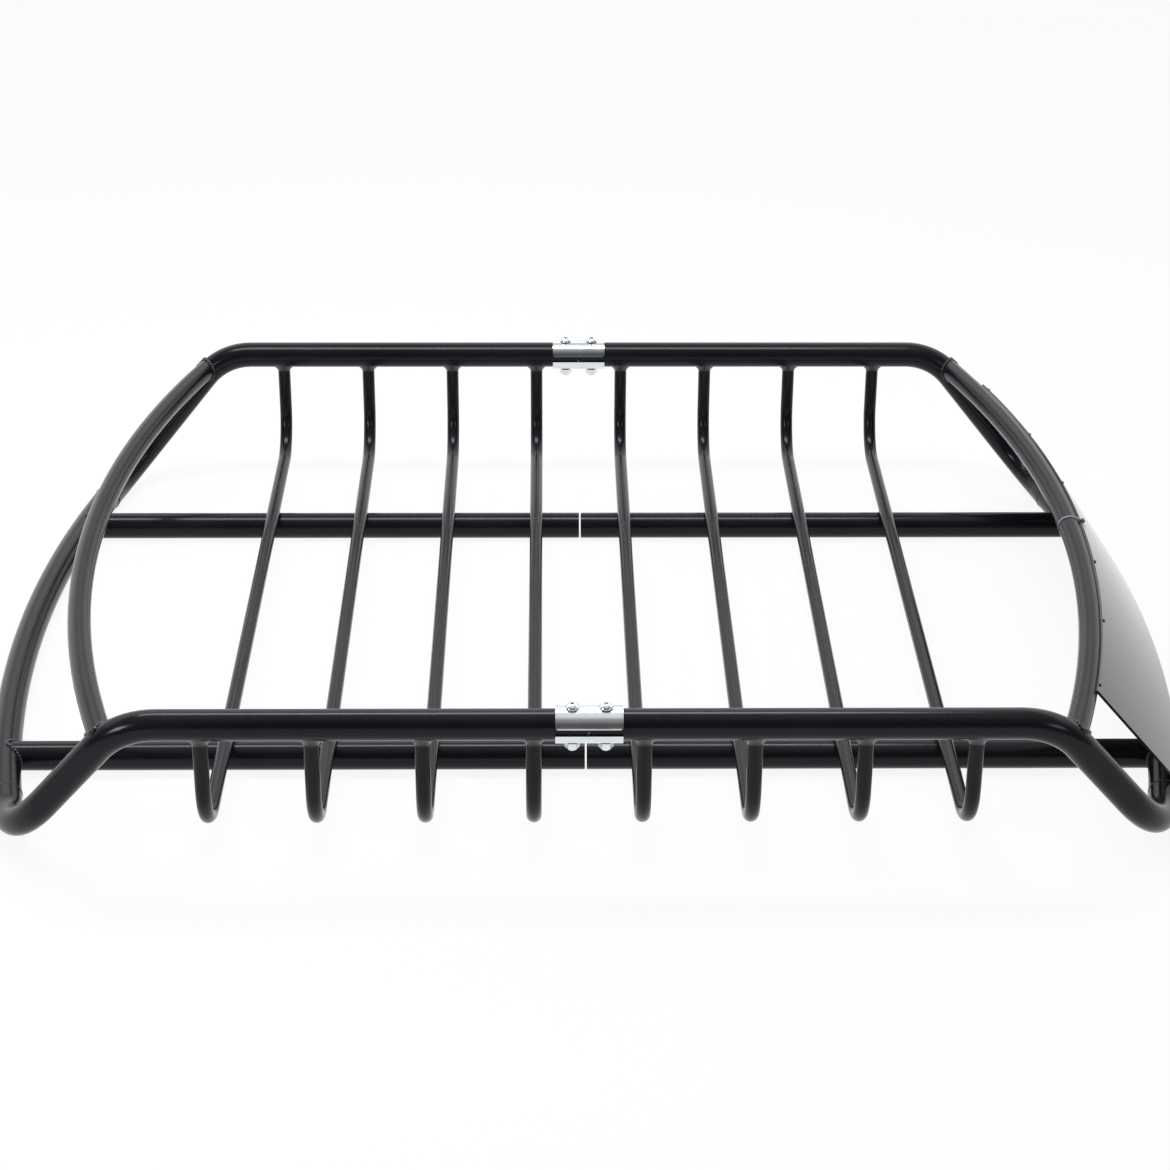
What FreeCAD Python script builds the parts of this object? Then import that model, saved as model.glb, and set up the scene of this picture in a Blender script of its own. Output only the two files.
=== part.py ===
import FreeCAD, Part
import math
import os

# Steel roof basket: two bent-tube halves, clamped together at the middle of the side rails.
# X runs along the vehicle, with the wind fairing at the +X end. Y runs across, Z is up.
# The origin is midway between the halves, on the plane that the base rails stand on.
# All sizes are in millimetres.

V = FreeCAD.Vector

# Tubes
tube_d = 28.6            # side rails, lower bows and base rails
tube_wall = 1.5
bow_d = 22.2             # upper bows
bow_wall = 1.2
bar_d = 14.0             # cross bars
bar_wall = 1.2

# Side rails
rail_spacing = 880.0     # between the two top rails, centre to centre
rail_rise = 114.0        # top rail above the cross bars, centre to centre
rail_gap = 2.6           # opening between the two halves of a top rail
shoulder_x = 416.0       # where the top rail's line meets the line of the end slope
shoulder_r = 70.0        # centreline radius of the bend at the shoulder
corner_tuck = 28.6       # how far the bottom corners stand in from the top rails
corner_r = 78.0          # centreline radius of the bend at a bottom corner

# End bows, both bowed outward in plan
low_apex_x = 577.0       # middle of a lower bow
low_rise = 32.7          # how far the middle stands out past the butt welds at the ends
up_apex_x = 501.5        # middle of an upper bow
up_rise = 70.5           # how far the middle stands out past the side rails
up_drop = 15.0           # upper bow below the top rail, centre to centre

# Base rails and cross bars
base_inset = 181.0       # base rails in from the side rails, centre to centre
base_gap = 2.0           # opening between the two halves of a base rail
bar_count = 8
bar_pitch = 98.5
bar_r = 48.0             # centreline radius of the two bends of a cross bar

# Clamps on the side rails' middle joints
clamp_length = 60.0
clamp_sheet = 2.5
clamp_open = 6.5         # strip of rail left bare between the upper and lower saddle
clamp_corner_r = 3.0     # corners of the upper saddles
screw_d = 6.0
screw_clearance = 0.5
head_d = 13.0
head_h = 4.6
head_land = 1.15         # upright rim below the dome of a head
nut_across = 12.0        # cap nuts, across the flats
nut_h = 5.5              # hexagon of a cap nut
cap_d = 11.4             # foot of its dome
cap_h = 3.6
screw_stub = 2.0         # thread past the hexagon, inside the dome

# Wind fairing on the +X end
fairing_sheet = 2.5
fairing_top_inset = 74.0 # upper corners of the sheet in from the side rails
fairing_low_inset = 3.0  # lower corners of the sheet in from the lower bow's ends
fairing_lip = 1.0        # sheet standing above its line of contact with the upper bow

# Heights and places that follow
half_rail = rail_spacing / 2
z_base = tube_d / 2
z_bar = z_base + (tube_d + bar_d) / 2
z_top = z_bar + rail_rise
z_up = z_top - up_drop
corner_y = half_rail - corner_tuck
base_y = half_rail - base_inset
low_half_chord = corner_y - corner_r
fairing_half_top = half_rail - fairing_top_inset
fairing_half_low = low_half_chord - fairing_low_inset
screw_pitch = clamp_length / 2


def arc_radius(half_chord, rise):
    return (half_chord ** 2 + rise ** 2) / (2 * rise)


low_r = arc_radius(low_half_chord, low_rise)
up_r = arc_radius(half_rail, up_rise)
low_end_x = low_apex_x - low_rise
low_end_slope = low_half_chord / (low_r - low_rise)
corner_x = low_end_x - (corner_y - low_half_chord) * low_end_slope


def bow_x(y, apex_x, radius):
    """X of a bow's centreline at Y."""
    return apex_x - radius + math.sqrt(radius ** 2 - y ** 2)


def bent_path(points, radii):
    """Edges through the points, with each inner corner rounded to its radius."""
    edges = []
    start = points[0]
    for before, corner, after, radius in zip(points, points[1:], points[2:], radii):
        to_before = (before - corner).normalize()
        to_after = (after - corner).normalize()
        half = to_before.getAngle(to_after) / 2
        bisector = (to_before + to_after).normalize()
        reach = radius / math.tan(half)
        arc_in = corner + to_before * reach
        arc_out = corner + to_after * reach
        arc_mid = corner + bisector * (radius / math.sin(half) - radius)
        edges.append(Part.LineSegment(start, arc_in).toShape())
        edges.append(Part.Arc(arc_in, arc_mid, arc_out).toShape())
        start = arc_out
    edges.append(Part.LineSegment(start, points[-1]).toShape())
    return edges


def bow_path(sx, apex_x, radius, half_chord, z):
    """Arc across the basket, standing out at its middle."""
    end_x = bow_x(half_chord, apex_x, radius)
    return [Part.Arc(V(sx * end_x, -half_chord, z), V(sx * apex_x, 0, z), V(sx * end_x, half_chord, z)).toShape()]


def sweep(path, diameter, bore=0):
    """Round bar, or a tube where a bore is given, along lines and arcs."""
    pieces = []
    for edge in path:
        start = edge.valueAt(edge.FirstParameter)
        ahead = edge.tangentAt(edge.FirstParameter)
        rings = [Part.Wire(Part.Circle(start, ahead, d / 2).toShape()) for d in (diameter, bore) if d > 0]
        section = Part.makeFace(rings, "Part::FaceMakerBullseye")
        if isinstance(edge.Curve, Part.Line):
            pieces.append(section.extrude(ahead * edge.Length))
        else:
            turn = math.degrees(edge.Length / edge.Curve.Radius)
            pieces.append(section.revolve(edge.Curve.Center, edge.Curve.Axis, turn))
    if len(pieces) == 1:
        return pieces[0]
    return pieces[0].multiFuse(pieces[1:]).removeSplitter()


class Tube:
    """A round tube: its full bar, which others are fitted to, and its hollow body."""

    def __init__(self, path, diameter, wall):
        self.bar = sweep(path, diameter)
        self.body = sweep(path, diameter, diameter - 2 * wall)

    def cope(self, *others):
        """Shape this tube's ends to the tubes that it is welded to; offcuts fall away."""
        for other in others:
            self.body = self.body.cut(other.bar)
        self.body = max(self.body.Solids, key=lambda solid: solid.Volume)
        return self


def side_rail(sx, sy):
    points = [
        V(sx * rail_gap / 2, sy * half_rail, z_top),
        V(sx * shoulder_x, sy * half_rail, z_top),
        V(sx * corner_x, sy * corner_y, z_base),
        V(sx * low_end_x, sy * low_half_chord, z_base),
    ]
    return Tube(bent_path(points, [shoulder_r, corner_r]), tube_d, tube_wall)


def lower_bow(sx):
    return Tube(bow_path(sx, low_apex_x, low_r, low_half_chord, z_base), tube_d, tube_wall)


def upper_bow(sx):
    return Tube(bow_path(sx, up_apex_x, up_r, half_rail, z_up), bow_d, bow_wall)


def base_rail(sx, sy):
    y = sy * base_y
    points = [V(sx * base_gap / 2, y, z_base), V(sx * bow_x(y, low_apex_x, low_r), y, z_base)]
    return Tube(bent_path(points, []), tube_d, tube_wall)


def cross_bar(x):
    points = [V(x, -half_rail, z_top), V(x, -half_rail, z_bar), V(x, half_rail, z_bar), V(x, half_rail, z_top)]
    return Tube(bent_path(points, [bar_r, bar_r]), bar_d, bar_wall)


def screw_holes(y, diameter):
    """Upright cylinders at the two screws of the clamp on the rail at Y."""
    holes = []
    for sx in (-1, 1):
        holes.append(Part.makeCylinder(diameter / 2, 2 * rail_rise, V(sx * screw_pitch / 2, y, z_top - rail_rise)))
    return Part.makeCompound(holes)


def saddle(y, sz):
    """Half-round clamp sheet above (sz 1) or below (sz -1) the rail at Y; the upper has rounded corners."""
    outer_r = tube_d / 2 + clamp_sheet
    end = V(-clamp_length / 2, y, z_top)
    along = V(1, 0, 0)
    pipe = Part.makeCylinder(outer_r, clamp_length, end, along).cut(
        Part.makeCylinder(tube_d / 2, clamp_length, end, along))
    # The slab keeps one side of the pipe; where it is rounded, so are the sheet's four corners.
    slab = Part.makeBox(clamp_length, 2 * outer_r, 2 * outer_r, V(-clamp_length / 2, y - outer_r, clamp_open / 2))
    if sz > 0:
        across = [edge for edge in slab.Edges if edge.BoundBox.YLength > outer_r]
        slab = slab.makeFillet(clamp_corner_r, [edge for edge in across if edge.CenterOfMass.z < outer_r])
    else:
        slab = slab.mirror(V(0, 0, 0), V(0, 0, 1))
    slab.translate(V(0, 0, z_top))
    return pipe.common(slab).cut(screw_holes(y, screw_d + screw_clearance))


def dome(diameter, height):
    """Cap of a sphere standing on Z 0."""
    radius = arc_radius(diameter / 2, height)
    ball = Part.makeSphere(radius, V(0, 0, height - radius))
    return ball.common(Part.makeCylinder(radius, height))


def clamp_screw(x, y):
    """Domed screw through both saddles."""
    bearing = tube_d / 2 + clamp_sheet
    head = dome(head_d, head_h - head_land)
    head.translate(V(0, 0, head_land))
    rim = Part.makeCylinder(head_d / 2, head_land)
    length = 2 * bearing + nut_h + screw_stub
    shank = Part.makeCylinder(screw_d / 2, length, V(0, 0, -length))
    screw = shank.multiFuse([rim, head]).removeSplitter()
    screw.translate(V(x, y, z_top + bearing))
    return screw


def clamp_nut(x, y):
    """Cap nut below the lower saddle, with a blind hole for the screw's end."""
    radius = nut_across / 2 / math.cos(math.pi / 6)
    corners = [V(radius * math.cos(k * math.pi / 3), radius * math.sin(k * math.pi / 3), 0) for k in range(7)]
    hexagon = Part.Face(Part.makePolygon(corners)).extrude(V(0, 0, nut_h))
    cap = dome(cap_d, cap_h)
    cap.translate(V(0, 0, nut_h))
    nut = hexagon.fuse(cap).cut(Part.makeCylinder(screw_d / 2, nut_h + screw_stub))
    nut.rotate(V(0, 0, 0), V(1, 0, 0), 180)
    nut.translate(V(x, y, z_top - tube_d / 2 - clamp_sheet))
    return nut


# The fairing lies on the outer common tangent of the two bows, seen in section at the middle.
reach_x = low_apex_x - up_apex_x
reach_z = z_up - z_base
fairing_tilt = math.atan2(reach_x, reach_z) - math.asin((tube_d - bow_d) / 2 / math.hypot(reach_x, reach_z))
fairing_out = V(math.cos(fairing_tilt), 0, math.sin(fairing_tilt))
fairing_up = V(-math.sin(fairing_tilt), 0, math.cos(fairing_tilt))


def fairing_edge(half_width, apex_x, radius, centre_z, offset_x, offset_z):
    """Arc at a steady offset from a bow's centreline, across half_width each side."""
    shifted = radius + offset_x
    x_end = bow_x(half_width, apex_x + offset_x, shifted)
    z = centre_z + offset_z
    return Part.Arc(V(x_end, -half_width, z), V(apex_x + offset_x, 0, z), V(x_end, half_width, z)).toShape()


def fairing_surface(depth):
    """Ruled face of the sheet, standing off the bows by depth."""
    top = fairing_out * (bow_d / 2 + depth) + fairing_up * fairing_lip
    low = fairing_out * (tube_d / 2 + depth)
    top_edge = fairing_edge(fairing_half_top, up_apex_x, up_r, z_up, top.x, top.z)
    low_edge = fairing_edge(fairing_half_low, low_apex_x, low_r, z_base, low.x, low.z)
    return Part.makeRuledSurface(top_edge, low_edge)


def fairing():
    inner = fairing_surface(0)
    outer = fairing_surface(fairing_sheet)
    rims = [Part.makeRuledSurface(a, b) for a, b in zip(inner.Edges, outer.Edges)]
    return Part.Solid(Part.Shell([inner, outer] + rims))


def main():
    signs = (-1, 1)
    rails = {(sx, sy): side_rail(sx, sy) for sx in signs for sy in signs}
    low_bows = {sx: lower_bow(sx) for sx in signs}
    end_name = {-1: "rear", 1: "front"}
    side_name = {-1: "near", 1: "far"}
    solids = {}
    for (sx, sy), rail in rails.items():
        body = rail.body.cut(screw_holes(sy * half_rail, screw_d + screw_clearance))
        solids["side_rail_%s_%s" % (end_name[sx], side_name[sy])] = body
        base = base_rail(sx, sy).cope(low_bows[sx])
        solids["base_rail_%s_%s" % (end_name[sx], side_name[sy])] = base.body
    for sx in signs:
        solids["lower_bow_" + end_name[sx]] = low_bows[sx].body
        bow = upper_bow(sx).cope(rails[sx, -1], rails[sx, 1])
        solids["upper_bow_" + end_name[sx]] = bow.body
    for k in range(bar_count):
        x = (k - (bar_count - 1) / 2) * bar_pitch
        sx = 1 if x > 0 else -1
        solids["cross_bar_%d" % (k + 1)] = cross_bar(x).cope(rails[sx, -1], rails[sx, 1]).body
    for sy in signs:
        y = sy * half_rail
        side = side_name[sy]
        solids["clamp_%s_upper" % side] = saddle(y, 1)
        solids["clamp_%s_lower" % side] = saddle(y, -1)
        for sx in signs:
            solids["clamp_%s_screw_%s" % (side, end_name[sx])] = clamp_screw(sx * screw_pitch / 2, y)
            solids["clamp_%s_nut_%s" % (side, end_name[sx])] = clamp_nut(sx * screw_pitch / 2, y)
    solids["fairing"] = fairing()
    os.makedirs("parts", exist_ok=True)
    for name, solid in solids.items():
        solid.exportStep("parts/%s.step" % name)


main()
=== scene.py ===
"""Looks of the roof basket: finishes, weld beads, fasteners, tie, studio and camera. Sizes are in metres."""
import math

import bmesh
import bpy
from mathutils import Matrix, Vector, geometry, noise
from mathutils.bvhtree import BVHTree


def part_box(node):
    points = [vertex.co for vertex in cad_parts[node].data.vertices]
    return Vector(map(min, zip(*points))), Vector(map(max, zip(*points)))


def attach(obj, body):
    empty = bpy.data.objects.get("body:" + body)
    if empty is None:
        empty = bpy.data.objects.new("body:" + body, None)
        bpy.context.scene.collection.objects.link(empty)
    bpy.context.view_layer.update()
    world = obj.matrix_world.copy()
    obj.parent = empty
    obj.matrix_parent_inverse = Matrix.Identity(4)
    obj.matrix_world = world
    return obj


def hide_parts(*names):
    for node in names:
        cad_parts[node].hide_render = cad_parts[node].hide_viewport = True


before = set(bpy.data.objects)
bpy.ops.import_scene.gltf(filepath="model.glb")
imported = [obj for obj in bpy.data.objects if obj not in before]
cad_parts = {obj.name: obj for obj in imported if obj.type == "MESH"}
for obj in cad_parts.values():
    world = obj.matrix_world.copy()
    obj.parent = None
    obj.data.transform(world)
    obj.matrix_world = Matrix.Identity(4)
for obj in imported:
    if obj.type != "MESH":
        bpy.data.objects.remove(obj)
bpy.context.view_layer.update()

ENDS = {"rear": -1, "front": 1}
SIDES = {"near": -1, "far": 1}
BAR_COUNT = 8

# Frame
TUBE_R = 0.0143
BOW_R = 0.0111
BAR_R = 0.007
HALF_RAIL = 0.440
BASE_Y = 0.259
LOW_END = Vector((0.5443, 0.3334, TUBE_R))   # butt weld between a side rail and a lower bow
LOW_END_TURN = math.radians(11.20)           # heading of the tube there, away from Y
UP_APEX_X = 0.5015
UP_ARC_R = 1.4083
UP_Z = 0.1346
SEAM_START = 0.045                           # how far before a joint its seam is looked for

# Weld beads
BEAD_R = 0.0021
FILLET_FLARE = 0.0040                        # foot of a leg's fillet past the leg
FILLET_DROP = 0.0060                         # its reach along the leg
FILLET_ROWS = 6
BUTT_BEAD_R = 0.0016
BEAD_PITCH = 0.0026
BEAD_RIPPLE = 0.16
BEAD_LUMPS = 0.15
LUMP_SCALE = 400.0
BEAD_TIP = 0.15                              # size of an open bead's tips
BUTT_BEAD_SINK = 0.6                         # share of a butt bead that lies below the tube's surface
BEAD_SIDES = 8
BEAD_STEPS_PER_RIPPLE = 6
TACK_LENGTH = 0.013
TACK_RIPPLES = 5
TACK_R = 0.0019
TACK_ASIDE = 0.62                            # beside the bar's middle, in bar radii
TACK_RAISE = 0.55                            # above the rail, in bead radii

# Clamp fasteners
HEAD_R = 0.0065
HEAD_H = 0.0046
HEAD_LAND = 0.00115
SHANK_R = 0.003
RECESS_REACH = 0.0036
RECESS_WIDTH = 0.0013
RECESS_DEPTH = 0.0024
RECESS_TAPER = 0.55
HEAD_CHAMFER = 0.0003
DOME_STEPS = 10
HEAD_SEGMENTS = 48
SCREW_TURN, SCREW_TURN_SPREAD = 0.5, 0.8     # each screw stopped at its own turn, in radians
SCREW_TURN_SCALE = 50.0

# Broken edges
EDGE_BREAK = 0.0003
EDGE_ANGLE = math.radians(40)
EDGE_SEGMENTS = 2

# Fairing fastenings: screws along the upper bow, and one tie at its middle
FAIRING_SHEET = 0.0025
FAIRING_LIP = 0.001
FAIRING_TILT = math.radians(30.85)
PIN_FIRST = 0.095
PIN_PITCH = 0.1275
PIN_COUNT_EACH_SIDE = 3
PIN_DROP = 0.0010                            # below the line of contact with the bow
PIN_HEAD_R = 0.0020
PIN_HEAD_H = 0.0014
PIN_HEX_R = 0.0009
PIN_HEX_DEPTH = 0.0008
PIN_CROWN_STEPS = 8
PIN_SEGMENTS = 32
HEX_SIDES = 6
TIE_WIDTH = 0.0036
TIE_THICK = 0.0006
TIE_SLOT = 0.014                             # slot in the sheet, below the line of contact
TIE_HEAD = (0.0034, 0.0044, 0.0046)
TIE_HEAD_ROUND = 0.0008
TIE_STEPS = 48

# Camera, from the perspective of the photograph
CAMERA_AT = (-0.03665, -2.55985, 1.34490)
CAMERA_PITCH = math.radians(26.513)
CAMERA_YAW = math.radians(0.872)
CAMERA_ROLL = math.radians(-0.309)
FOCAL_PIXELS = 2750.0
IMAGE_PIXELS = 1170.0
SENSOR_MM = 36.0

# Finishes: colour and roughness vary between two values, and grain is (scale, depth)
PAINT_TINT = (0.96, 0.92, 1.0)               # of the gloss on black paint
SHEET_TINT = (1.0, 0.97, 0.98)               # of the gloss on the fairing
FINISHES = {
    "frame": dict(name="black_powder_coat", low=(0.006, 0.005, 0.007), high=(0.010, 0.009, 0.012),
                  rough=(0.17, 0.23), grain=(700.0, 0.00003), specular=0.2, tint=PAINT_TINT),
    "weld": dict(name="painted_weld", low=(0.008, 0.007, 0.009), high=(0.014, 0.013, 0.016),
                 rough=(0.12, 0.26), grain=(900.0, 0.0002), tint=PAINT_TINT),
    "zinc": dict(name="bright_zinc", low=(0.66, 0.70, 0.72), high=(0.80, 0.83, 0.85),
                 rough=(0.13, 0.19), grain=(1100.0, 0.000003), patch_scale=60.0, metallic=1.0),
    "fairing": dict(name="black_sheet", low=(0.016, 0.015, 0.017), high=(0.024, 0.023, 0.025),
                    rough=(0.07, 0.11), grain=(1300.0, 0.000003), tint=SHEET_TINT),
    "pin": dict(name="black_oxide", low=(0.010, 0.010, 0.011), high=(0.018, 0.018, 0.020),
                rough=(0.35, 0.48), grain=(1200.0, 0.00004)),
    # The tie's light grey is partly a painted highlight. It makes the tie show as a pale band across the
    # dark bow.
    "tie": dict(name="tie_grey_and_painted_highlight", low=(0.12, 0.12, 0.14), high=(0.16, 0.16, 0.18),
                rough=(0.36, 0.46), grain=(1200.0, 0.00004)),
}
PATCH_LOW, PATCH_HIGH = 0.3, 0.7             # stretch of the noise over which a finish varies
PATCH_DETAIL, PATCH_ROUGHNESS = 5.0, 0.6
GRAIN_DETAIL, GRAIN_ROUGHNESS = 2.0, 0.5
BUMP_STRENGTH = 0.5

# Studio
FLOOR_REACH = 30.0
FLOOR_COLOUR = (0.85, 0.85, 0.85)
FLOOR_ROUGHNESS = 0.9
FLOOR_GLOW_SHARE = 0.9                       # the rest of the floor's look is lit, and keeps the shadow
LAMP_TINT = (0.94, 0.96, 1.0)
LAMPS = {
    "overhead": dict(place=(-0.25, 0.25, 1.55), target=(-0.25, 0.1, 0), size=(1.5, 0.32), watts=20),
    "side_left": dict(place=(-1.75, -1.55, 1.10), target=(-0.4, -0.4, 0.1), size=(0.5, 0.5), watts=14),
    "side_right": dict(place=(1.75, -1.55, 1.10), target=(0.4, -0.4, 0.1), size=(0.6, 0.4), watts=4),
}

# Brightness of the surroundings by height: sine of the elevation, shade
WALL_SHADES = ((0.0, 1.2), (0.34, 1.2), (0.39, 0.5), (0.43, 0.5), (0.48, 1.9), (0.66, 1.9), (0.74, 0.8))
ROOM_SHADES = ((0.0, 0.09), (0.50, 0.10), (0.86, 0.35), (0.98, 0.90))
ROOM_EDGE, WALL_EDGE = -0.2, 0.5             # Y of the direction where the room ends and the wall begins


def new_material(name):
    material = bpy.data.materials.new(name)
    material.use_nodes = True
    tree = material.node_tree
    return material, tree.nodes, tree.links, tree.nodes["Principled BSDF"]


def noise_node(nodes, links, scale, detail, roughness):
    """Solid noise in object space, so that grain has a true size on every piece."""
    coords = nodes.new("ShaderNodeTexCoord")
    texture = nodes.new("ShaderNodeTexNoise")
    texture.inputs["Scale"].default_value = scale
    texture.inputs["Detail"].default_value = detail
    texture.inputs["Roughness"].default_value = roughness
    links.new(coords.outputs["Object"], texture.inputs["Vector"])
    return texture


def blend_colours(nodes, links, factor, low, high):
    ramp = nodes.new("ShaderNodeValToRGB")
    ramp.color_ramp.elements[0].position = PATCH_LOW
    ramp.color_ramp.elements[1].position = PATCH_HIGH
    ramp.color_ramp.elements[0].color = (*low, 1)
    ramp.color_ramp.elements[1].color = (*high, 1)
    links.new(factor, ramp.inputs["Fac"])
    return ramp.outputs["Color"]


def blend_values(nodes, links, factor, low, high):
    span = nodes.new("ShaderNodeMapRange")
    span.inputs["From Min"].default_value = PATCH_LOW
    span.inputs["From Max"].default_value = PATCH_HIGH
    span.inputs["To Min"].default_value = low
    span.inputs["To Max"].default_value = high
    links.new(factor, span.inputs["Value"])
    return span.outputs["Result"]


def add_bump(nodes, links, shader, height, distance):
    bump = nodes.new("ShaderNodeBump")
    bump.inputs["Strength"].default_value = BUMP_STRENGTH
    bump.inputs["Distance"].default_value = distance
    links.new(height, bump.inputs["Height"])
    links.new(bump.outputs["Normal"], shader.inputs["Normal"])


def coating(name, low, high, rough, grain, patch_scale=9.0, metallic=0.0, specular=0.5,
            tint=(1.0, 1.0, 1.0)):
    """Material with slow patches of colour and gloss, and a fine grain."""
    material, nodes, links, shader = new_material(name)
    grain_scale, grain_depth = grain
    patches = noise_node(nodes, links, patch_scale, PATCH_DETAIL, PATCH_ROUGHNESS).outputs["Fac"]
    texture = noise_node(nodes, links, grain_scale, GRAIN_DETAIL, GRAIN_ROUGHNESS).outputs["Fac"]
    links.new(blend_colours(nodes, links, patches, low, high), shader.inputs["Base Color"])
    links.new(blend_values(nodes, links, patches, *rough), shader.inputs["Roughness"])
    shader.inputs["Metallic"].default_value = metallic
    shader.inputs["Specular IOR Level"].default_value = specular
    shader.inputs["Specular Tint"].default_value = (*tint, 1)
    add_bump(nodes, links, shader, texture, grain_depth)
    return material


def add_piece(name, mesh, material):
    piece = bpy.data.objects.new(name, mesh)
    bpy.context.scene.collection.objects.link(piece)
    mesh.materials.append(material)
    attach(piece, "root")
    return piece


def finish_mesh(name, bm, smooth=True):
    bmesh.ops.recalc_face_normals(bm, faces=bm.faces)
    mesh = bpy.data.meshes.new(name)
    bm.to_mesh(mesh)
    bm.free()
    for face in mesh.polygons:
        face.use_smooth = smooth
    return mesh


def surface(node):
    """Search tree of a CAD node's faces."""
    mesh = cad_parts[node].data
    return BVHTree.FromPolygons([v.co for v in mesh.vertices], [f.vertices for f in mesh.polygons])


def circle(centre, ahead, radius, count=None):
    """Points round a tube, by default as many as a bead needs."""
    ahead = ahead.normalized()
    side = ahead.orthogonal().normalized()
    across = ahead.cross(side)
    count = count or round(2 * math.pi * radius / BEAD_PITCH) * BEAD_STEPS_PER_RIPPLE
    turns = [2 * math.pi * k / count for k in range(count)]
    return [centre + radius * (math.cos(t) * side + math.sin(t) * across) for t in turns]


def seam(joint, ahead, radius, target, count=None):
    """Closed line where a tube of this radius, running ahead into the joint, meets the target."""
    ahead = ahead.normalized()
    starts = circle(joint - ahead * SEAM_START, ahead, radius, count)
    hits = [target.ray_cast(start, ahead, 2 * SEAM_START)[0] for start in starts]
    return [hit for hit in hits if hit]


def add_bead(bm, points, radius, closed=True):
    """Rippled weld bead along a line of points, tapered at open ends."""
    last = len(points) - 1
    rings = []
    for k, point in enumerate(points):
        before = points[k - 1] if closed or k else points[0]
        after = points[(k + 1) % len(points)] if closed or k < last else points[last]
        along = (after - before).normalized()
        side = along.orthogonal().normalized()
        across = along.cross(side)
        ripple = math.cos(2 * math.pi * k / BEAD_STEPS_PER_RIPPLE)
        lump = noise.noise(point * LUMP_SCALE)
        swell = radius * (1 + BEAD_RIPPLE * ripple + BEAD_LUMPS * lump)
        if not closed:
            swell *= max(BEAD_TIP, math.sqrt(1 - (2 * k / last - 1) ** 2))
        turns = [2 * math.pi * j / BEAD_SIDES for j in range(BEAD_SIDES)]
        spots = [point + swell * (math.cos(t) * side + math.sin(t) * across) for t in turns]
        rings.append([bm.verts.new(spot) for spot in spots])
    stitches = len(rings) if closed else last
    for k in range(stitches):
        stitch(bm, rings[k], rings[(k + 1) % len(rings)])
    if not closed:
        bm.faces.new(rings[0])
        bm.faces.new(rings[last])


def add_fillet(bm, joint, ahead, radius, target):
    """Hollow fillet weld that flares from a tube of this radius onto the target ahead."""
    rings = []
    for row in range(FILLET_ROWS + 1):
        t = row / FILLET_ROWS
        count = len(rings[0]) if rings else None
        foot = seam(joint, ahead, radius + FILLET_FLARE * (1 - t) ** 2, target, count)
        rings.append([])
        for k, point in enumerate(foot):
            ripple = BEAD_R * BEAD_RIPPLE * (1 - t) * math.cos(2 * math.pi * k / BEAD_STEPS_PER_RIPPLE)
            rings[row].append(bm.verts.new(point - ahead * (FILLET_DROP * t + ripple)))
    for ring, other in zip(rings, rings[1:]):
        stitch(bm, ring, other)


def stitch(bm, ring, other):
    """Faces between two rings, turned so that the nearest corners meet."""
    count = len(ring)
    shift = min(range(count), key=lambda s: (ring[0].co - other[s].co).length)
    for j in range(count):
        k = (j + 1) % count
        bm.faces.new((ring[j], ring[k], other[(k + shift) % count], other[(j + shift) % count]))


def bar_x(k):
    low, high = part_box("cross_bar_%d" % (k + 1))
    return (low[0] + high[0]) / 2


def add_welds(material):
    kinds = ("leg_welds", "bar_tack_welds", "upper_bow_welds", "base_rail_welds", "butt_welds")
    welds = {kind: bmesh.new() for kind in kinds}
    bow_end_x = UP_APEX_X - UP_ARC_R + math.sqrt(UP_ARC_R ** 2 - HALF_RAIL ** 2)
    bow_turn = math.asin(HALF_RAIL / UP_ARC_R)
    for end, sx in ENDS.items():
        low_bow = surface("lower_bow_" + end)
        for side, sy in SIDES.items():
            rail = surface("side_rail_%s_%s" % (end, side))
            rail_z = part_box("side_rail_%s_%s" % (end, side))[1][2] - TUBE_R
            for x in (bar_x(k) for k in range(BAR_COUNT)):
                if x * sx > 0:
                    joint = Vector((x, sy * HALF_RAIL, rail_z))
                    add_fillet(welds["leg_welds"], joint, Vector((0, 0, 1)), BAR_R, rail)
            joint = Vector((sx * bow_end_x, sy * HALF_RAIL, UP_Z))
            heading = Vector((-sx * math.sin(bow_turn), sy * math.cos(bow_turn), 0))
            add_bead(welds["upper_bow_welds"], seam(joint, heading, BOW_R, rail), BEAD_R)
            rail_end_x = max((corner[0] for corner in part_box("base_rail_%s_%s" % (end, side))), key=abs)
            joint = Vector((rail_end_x, sy * BASE_Y, TUBE_R))
            add_bead(welds["base_rail_welds"], seam(joint, Vector((sx, 0, 0)), TUBE_R, low_bow), BEAD_R)
            joint = Vector((sx * LOW_END.x, sy * LOW_END.y, LOW_END.z))
            heading = Vector((sx * math.sin(LOW_END_TURN), -sy * math.cos(LOW_END_TURN), 0))
            ring = circle(joint, heading, TUBE_R - BUTT_BEAD_R * BUTT_BEAD_SINK)
            add_bead(welds["butt_welds"], ring, BUTT_BEAD_R)
    for k in range(BAR_COUNT):
        for sy in SIDES.values():
            for offset in (-1, 1):
                add_tack(welds["bar_tack_welds"], bar_x(k), sy * BASE_Y, offset)
    for kind, bm in welds.items():
        for v in bm.verts:
            v.co.z = max(v.co.z, 0)   # ground flush where the basket stands
        add_piece(kind, finish_mesh(kind, bm), material)


def add_tack(bm, x, y, offset):
    """Short bead in the crevice beside a cross bar, on top of the base rail."""
    points = []
    steps = TACK_RIPPLES * BEAD_STEPS_PER_RIPPLE
    for k in range(steps + 1):
        t = (k / steps - 0.5) * TACK_LENGTH
        top = TUBE_R + math.sqrt(TUBE_R ** 2 - t ** 2)
        points.append(Vector((x + offset * BAR_R * TACK_ASIDE, y + t, top + TACK_R * TACK_RAISE)))
    add_bead(bm, points, TACK_R, closed=False)


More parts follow.
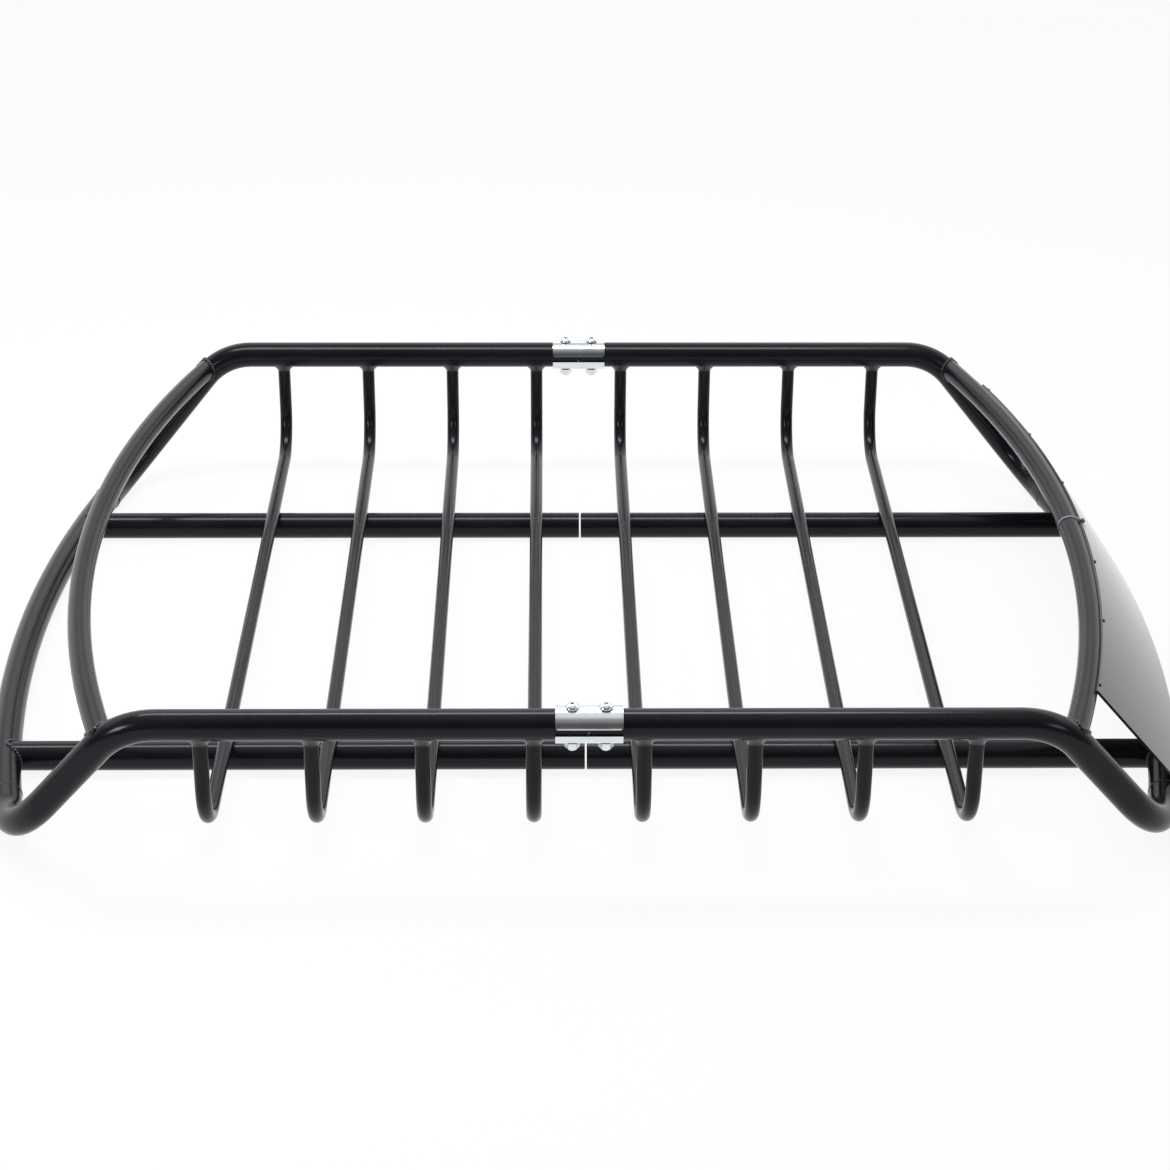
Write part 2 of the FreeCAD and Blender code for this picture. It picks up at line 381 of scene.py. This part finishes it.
def spin_profile(profile, segments):
    """Solid of revolution about Z from (radius, height) pairs."""
    bm = bmesh.new()
    rings = []
    for radius, height in profile:
        if radius == 0:
            rings.append([bm.verts.new((0, 0, height))])
            continue
        turns = [2 * math.pi * k / segments for k in range(segments)]
        rings.append([bm.verts.new((radius * math.cos(t), radius * math.sin(t), height)) for t in turns])
    for ring, other in zip(rings, rings[1:]):
        for k in range(segments):
            n = (k + 1) % segments
            corners = [ring[k % len(ring)], ring[n % len(ring)]]
            corners += [other[n % len(other)], other[k % len(other)]]
            bm.faces.new(list(dict.fromkeys(corners)))
    return bm


def cut(mesh, tool):
    """New mesh with the tool cut out."""
    body = bpy.data.objects.new("boolean_body", mesh)
    other = bpy.data.objects.new("boolean_tool", tool)
    for item in (body, other):
        bpy.context.scene.collection.objects.link(item)
    step = body.modifiers.new("step", "BOOLEAN")
    step.operation = "DIFFERENCE"
    step.solver = "EXACT"
    step.object = other
    graph = bpy.context.evaluated_depsgraph_get()
    result = bpy.data.meshes.new_from_object(body.evaluated_get(graph))
    for item in (body, other):
        bpy.data.objects.remove(item)
    return result


def screw_mesh(length):
    """Domed screw with a cross recess; its bearing face is at Z 0."""
    dome_h = HEAD_H - HEAD_LAND
    dome_r = (HEAD_R ** 2 + dome_h ** 2) / (2 * dome_h)
    profile = [(0, HEAD_H)]
    for k in range(1, DOME_STEPS + 1):
        radius = HEAD_R * k / DOME_STEPS
        profile.append((radius, HEAD_H - dome_r + math.sqrt(dome_r ** 2 - radius ** 2)))
    profile += [(HEAD_R, HEAD_CHAMFER), (HEAD_R - HEAD_CHAMFER, 0), (SHANK_R, 0)]
    profile += [(SHANK_R, -length), (0, -length)]
    body = finish_mesh("screw", spin_profile(profile, HEAD_SEGMENTS))
    for turn in (0, math.pi / 2):
        wing = bmesh.new()
        bmesh.ops.create_cube(wing, size=1)
        for v in wing.verts:
            taper = 1.0 if v.co.z > 0 else RECESS_TAPER
            v.co *= Vector((2 * RECESS_REACH * taper, RECESS_WIDTH, 2 * RECESS_DEPTH))
        bmesh.ops.translate(wing, verts=wing.verts, vec=(0, 0, HEAD_H))
        bmesh.ops.rotate(wing, verts=wing.verts, cent=(0, 0, 0), matrix=Matrix.Rotation(turn, 3, "Z"))
        body = cut(body, finish_mesh("wing", wing, False))
    return body


def add_fasteners(material):
    """Screws with a recess in place of the plain ones."""
    for side in SIDES:
        for end in ENDS:
            node = "clamp_%s_screw_%s" % (side, end)
            low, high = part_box(node)
            screw = screw_mesh(high[2] - low[2] - HEAD_H)
            chance = noise.noise(Vector(high) * SCREW_TURN_SCALE)
            turn = Matrix.Rotation(SCREW_TURN + SCREW_TURN_SPREAD * chance, 4, "Z")
            centre = ((low[0] + high[0]) / 2, (low[1] + high[1]) / 2, high[2] - HEAD_H)
            screw.transform(Matrix.Translation(centre) @ turn)
            piece = add_piece("finished_" + node, screw, material)
            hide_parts(node)


def on_upper_bow(y):
    """Frame at Y on the front upper bow: X points out of the fairing, Z up along it."""
    heading = math.asin(y / UP_ARC_R)
    x = UP_APEX_X - UP_ARC_R + math.sqrt(UP_ARC_R ** 2 - y ** 2)
    tilt = Matrix.Rotation(-FAIRING_TILT, 4, "Y")
    return Matrix.Translation((x, y, UP_Z)) @ Matrix.Rotation(heading, 4, "Z") @ tilt


def pin_mesh():
    """Button head with a hexagon socket, standing on the sheet along +X."""
    turns = [k * math.pi / 2 / PIN_CROWN_STEPS for k in range(1, PIN_CROWN_STEPS + 1)]
    crown = [(PIN_HEAD_R * math.sin(t), PIN_HEAD_H * math.cos(t)) for t in turns]
    head = finish_mesh("pin", spin_profile([(0, PIN_HEAD_H)] + crown + [(0, 0)], PIN_SEGMENTS))
    top = PIN_HEAD_H * 2   # clear of the head
    low = PIN_HEAD_H - PIN_HEX_DEPTH
    profile = [(0, top), (PIN_HEX_R, top), (PIN_HEX_R, low), (0, low)]
    pin = cut(head, finish_mesh("socket", spin_profile(profile, HEX_SIDES), False))
    seat = Matrix.Translation((BOW_R + FAIRING_SHEET, 0, -PIN_DROP))
    pin.transform(seat @ Matrix.Rotation(math.pi / 2, 4, "Y"))
    return pin


def add_pins(material):
    for k in range(PIN_COUNT_EACH_SIDE):
        for side, sy in SIDES.items():
            pin = pin_mesh()
            pin.transform(on_upper_bow(sy * (PIN_FIRST + k * PIN_PITCH)))
            add_piece("fairing_screw_%s_%d" % (side, k + 1), pin, material)


def tie_loop():
    """Outline of a tie round the bow and the sheet, as (outward, upward) pairs about the bow's centre."""
    bow = BOW_R + TIE_THICK / 2
    outside = BOW_R + FAIRING_SHEET + TIE_THICK / 2
    turns = [2 * math.pi * k / TIE_STEPS for k in range(TIE_STEPS)]
    spots = [(bow * math.cos(t), bow * math.sin(t)) for t in turns]
    spots += [(outside, FAIRING_LIP + TIE_THICK / 2), (outside, -TIE_SLOT)]
    return [Vector(spots[k]) for k in geometry.convex_hull_2d([Vector(s) for s in spots])]


def add_tie(material):
    bm = bmesh.new()
    loop = tie_loop()
    rings = []
    for k, spot in enumerate(loop):
        along = (loop[(k + 1) % len(loop)] - loop[k - 1]).normalized()
        outward = Vector((along.y, -along.x))
        ring = []
        for depth, width in ((-0.5, -0.5), (-0.5, 0.5), (0.5, 0.5), (0.5, -0.5)):
            place = spot + outward * depth * TIE_THICK
            ring.append(bm.verts.new((place.x, width * TIE_WIDTH, place.y)))
        rings.append(ring)
    for k, ring in enumerate(rings):
        stitch(bm, ring, rings[(k + 1) % len(rings)])
    head = bmesh.ops.create_cube(bm, size=1)["verts"]
    bmesh.ops.scale(bm, verts=head, vec=TIE_HEAD)
    spot = (BOW_R + FAIRING_SHEET + TIE_HEAD[0] / 2, 0, FAIRING_LIP - TIE_HEAD[2] / 2)
    bmesh.ops.translate(bm, verts=head, vec=spot)
    edges = list({edge for v in head for edge in v.link_edges})
    bmesh.ops.bevel(bm, geom=edges, offset=TIE_HEAD_ROUND, segments=EDGE_SEGMENTS, affect="EDGES")
    mesh = finish_mesh("fairing_tie", bm, False)
    mesh.transform(on_upper_bow(0))
    add_piece("fairing_tie", mesh, material)


def soften(node):
    """Broken edges on the clamps' cut sheet and nuts."""
    bevel = node.modifiers.new("soft_edges", "BEVEL")
    bevel.width = EDGE_BREAK
    bevel.segments = EDGE_SEGMENTS
    bevel.limit_method = "ANGLE"
    bevel.angle_limit = EDGE_ANGLE
    bevel.harden_normals = True


def dress_nodes(materials):
    for name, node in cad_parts.items():
        if name.startswith("clamp"):
            finish = "zinc"
        elif name == "fairing":
            finish = "fairing"
        else:
            finish = "frame"
        node.data.materials.clear()
        node.data.materials.append(materials[finish])
        if finish == "zinc":
            soften(node)


def add_floor():
    bm = bmesh.new()
    bmesh.ops.create_grid(bm, x_segments=1, y_segments=1, size=FLOOR_REACH)
    floor = bpy.data.objects.new("floor", finish_mesh("floor", bm))
    bpy.context.scene.collection.objects.link(floor)
    material, nodes, links, shader = new_material("white_floor")
    shader.inputs["Base Color"].default_value = (*FLOOR_COLOUR, 1)
    shader.inputs["Roughness"].default_value = FLOOR_ROUGHNESS
    glow = nodes.new("ShaderNodeEmission")
    mix = nodes.new("ShaderNodeMixShader")
    links.new(background_share(nodes, links, FLOOR_GLOW_SHARE), mix.inputs["Fac"])
    links.new(shader.outputs["BSDF"], mix.inputs[1])
    links.new(glow.outputs["Emission"], mix.inputs[2])
    links.new(mix.outputs["Shader"], nodes["Material Output"].inputs["Surface"])
    floor.data.materials.append(material)


def background_share(nodes, links, share):
    """The share for camera, glossy and transmission rays, and none for others."""
    path = nodes.new("ShaderNodeLightPath")
    total = path.outputs["Is Camera Ray"]
    for kind in ("Is Glossy Ray", "Is Transmission Ray"):
        either = nodes.new("ShaderNodeMath")
        either.operation = "MAXIMUM"
        links.new(total, either.inputs[0])
        links.new(path.outputs[kind], either.inputs[1])
        total = either.outputs["Value"]
    scale = nodes.new("ShaderNodeMath")
    scale.operation = "MULTIPLY"
    scale.inputs[1].default_value = share
    links.new(total, scale.inputs[0])
    return scale.outputs["Value"]


def light_world():
    """White wall with a brighter band behind the object, and a dark room in front."""
    world = bpy.data.worlds.new("studio")
    bpy.context.scene.world = world
    world.use_nodes = True
    nodes, links = world.node_tree.nodes, world.node_tree.links
    coords = nodes.new("ShaderNodeTexCoord")
    split = nodes.new("ShaderNodeSeparateXYZ")
    links.new(coords.outputs["Generated"], split.inputs["Vector"])
    behind = ramp_node(nodes, links, split.outputs["Z"], WALL_SHADES)
    before = ramp_node(nodes, links, split.outputs["Z"], ROOM_SHADES)
    depth = nodes.new("ShaderNodeMapRange")
    depth.inputs["From Min"].default_value = ROOM_EDGE
    depth.inputs["From Max"].default_value = WALL_EDGE
    links.new(split.outputs["Y"], depth.inputs["Value"])
    mix = nodes.new("ShaderNodeMix")
    mix.data_type = "RGBA"
    links.new(depth.outputs["Result"], mix.inputs["Factor"])
    links.new(before, mix.inputs["A"])
    links.new(behind, mix.inputs["B"])
    links.new(mix.outputs["Result"], nodes["Background"].inputs["Color"])


def ramp_node(nodes, links, factor, shades):
    """Grey ramp from (position, shade) pairs."""
    ramp = nodes.new("ShaderNodeValToRGB")
    elements = ramp.color_ramp.elements
    while len(elements) < len(shades):
        elements.new(1)
    for element, (position, shade) in zip(elements, shades):
        element.position = position
        element.color = (shade, shade, shade, 1)
    links.new(factor, ramp.inputs["Fac"])
    return ramp.outputs["Color"]


def add_lamp(name, place, target, size, watts):
    light = bpy.data.lights.new(name, "AREA")
    light.shape = "RECTANGLE"
    light.size, light.size_y = size
    light.energy = watts
    light.color = LAMP_TINT
    lamp = bpy.data.objects.new(name, light)
    bpy.context.scene.collection.objects.link(lamp)
    lamp.location = place
    lamp.rotation_euler = (Vector(target) - Vector(place)).to_track_quat("-Z", "Y").to_euler()


def add_camera():
    """Camera at the photograph's viewpoint: pitch down, then yaw and roll."""
    data = bpy.data.cameras.new("camera")
    data.sensor_width = SENSOR_MM
    data.lens = FOCAL_PIXELS / IMAGE_PIXELS * SENSOR_MM
    camera = bpy.data.objects.new("camera", data)
    bpy.context.scene.collection.objects.link(camera)
    level = math.cos(CAMERA_PITCH)
    ahead = Vector((math.sin(CAMERA_YAW) * level, math.cos(CAMERA_YAW) * level, -math.sin(CAMERA_PITCH)))
    right = Vector((math.cos(CAMERA_YAW), -math.sin(CAMERA_YAW), 0))
    down = ahead.cross(right)
    right, down = (math.cos(CAMERA_ROLL) * right + math.sin(CAMERA_ROLL) * down,
                   math.cos(CAMERA_ROLL) * down - math.sin(CAMERA_ROLL) * right)
    axes = Matrix((right, -down, -ahead)).transposed().to_4x4()
    camera.matrix_world = Matrix.Translation(CAMERA_AT) @ axes
    bpy.context.scene.camera = camera


bpy.context.scene.view_settings.view_transform = "Standard"
finishes = {finish: coating(**look) for finish, look in FINISHES.items()}
dress_nodes(finishes)
add_welds(finishes["weld"])
add_fasteners(finishes["zinc"])
add_pins(finishes["pin"])
add_tie(finishes["tie"])
add_floor()
light_world()
for lamp_name, lamp_look in LAMPS.items():
    add_lamp(lamp_name, **lamp_look)
add_camera()
